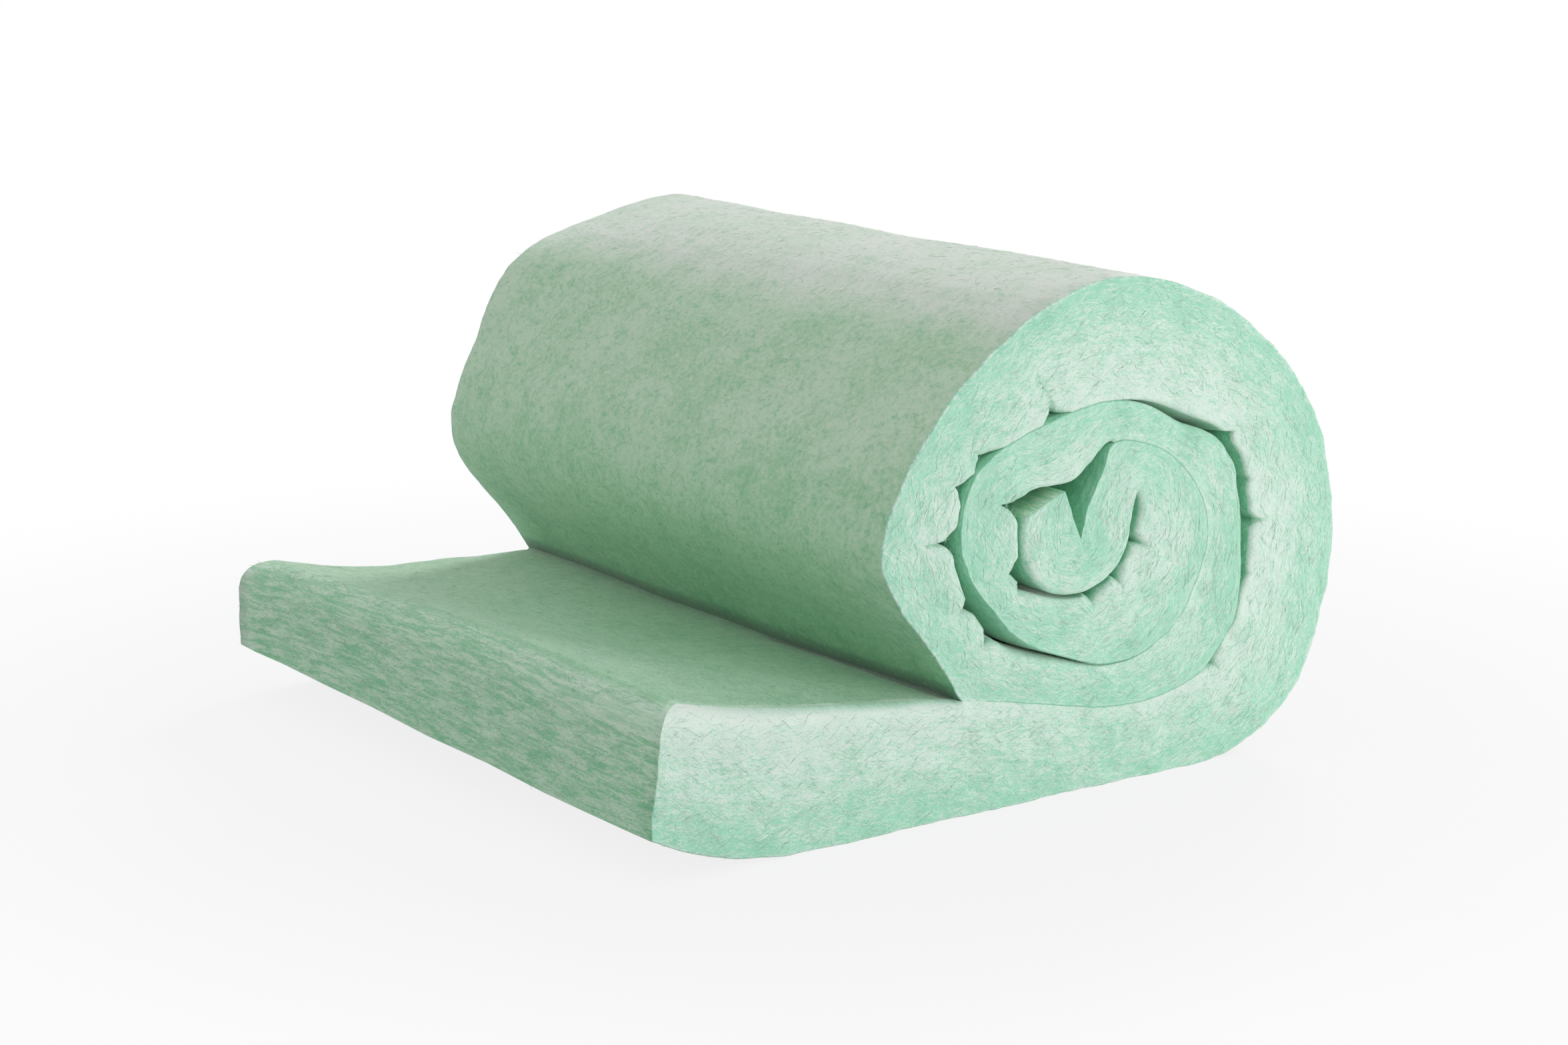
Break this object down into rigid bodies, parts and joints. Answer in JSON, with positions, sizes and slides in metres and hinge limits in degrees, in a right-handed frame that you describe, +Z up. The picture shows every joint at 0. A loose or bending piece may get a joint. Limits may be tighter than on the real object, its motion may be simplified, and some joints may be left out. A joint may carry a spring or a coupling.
{
  "type": "insulation blanket",
  "caption": "Felted fibre insulation blanket wound into a loose roll, its outer end unrolled flat as a tail with a curled tip.",
  "frame": {"origin": "on the floor, under the middle of the blanket's box", "axes": "+X along the floor from the tail to the roll, +Y along the roll's axis, +Z up"},
  "size_m": [0.594, 0.58, 0.3574],
  "materials": {
    "fibre_felt": "matte felted polyester or wool-like fibre, pale mint green, fuzzy"
  },
  "bodies": {
    "root": {"insulation_blanket": "fibre_felt"}
  },
  "joints": []
}
